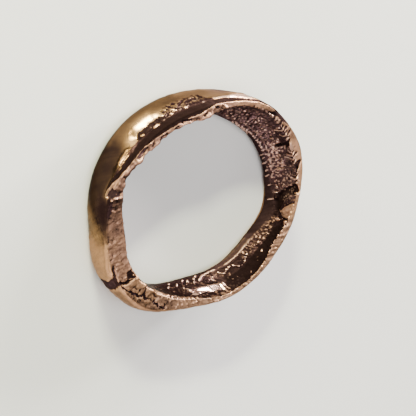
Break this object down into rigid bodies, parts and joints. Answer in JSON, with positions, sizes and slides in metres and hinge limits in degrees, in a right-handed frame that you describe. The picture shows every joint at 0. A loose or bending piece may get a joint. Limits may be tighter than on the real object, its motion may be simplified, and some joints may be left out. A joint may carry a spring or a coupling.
{
  "type": "finger ring",
  "caption": "Rough-cast finger ring: a thick uneven metal band, polished outside and sunken and raw inside, with a worn front lip.",
  "frame": {"origin": "centre of the finger hole, in the plane of the flat back edge that the ring lies on", "axes": "+Z along the finger hole, from the flat back edge to the worn front lip; +X towards the scalloped side of the lip; +Y a quarter turn on from +X"},
  "size_m": [0.0253, 0.0241, 0.0057],
  "materials": {
    "bronze": "polished outer wall, filed lip, dark raw casting skin inside"
  },
  "bodies": {
    "root": {"ring": "bronze"}
  },
  "joints": []
}
